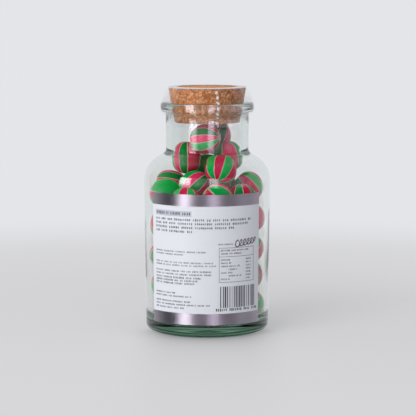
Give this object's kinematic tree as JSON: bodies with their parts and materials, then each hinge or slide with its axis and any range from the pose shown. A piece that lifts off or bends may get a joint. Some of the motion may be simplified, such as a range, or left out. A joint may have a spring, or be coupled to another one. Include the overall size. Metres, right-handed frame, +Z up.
{
  "type": "jar of striped boiled sweets",
  "caption": "Corked glass apothecary jar with a rounded shoulder and thick lip, full of round striped boiled sweets, with a foil label and a film seal.",
  "frame": {"origin": "middle of the jar's foot, on the surface it stands on", "axes": "+Z up along the jar's axis; the label faces -Y; +X is to the right of a viewer who faces the label"},
  "size_m": [0.0766, 0.0771, 0.1484],
  "materials": {
    "glass": "clear, slightly green moulded glass, smooth and glossy",
    "cork": "agglomerated cork, warm brown with dark flecks and pits",
    "sweets": "hard boiled sugar in crimson and green stripes with thin cream lines, satin gloss",
    "label": "printed matt white panel with small dark marks, on brushed silver foil",
    "film": "thin clear shrink film with fine wrinkles"
  },
  "bodies": {
    "root": {"jar": "glass", "cork": "cork", "sweets": "sweets", "label": "label", "seal": "film"}
  },
  "joints": []
}
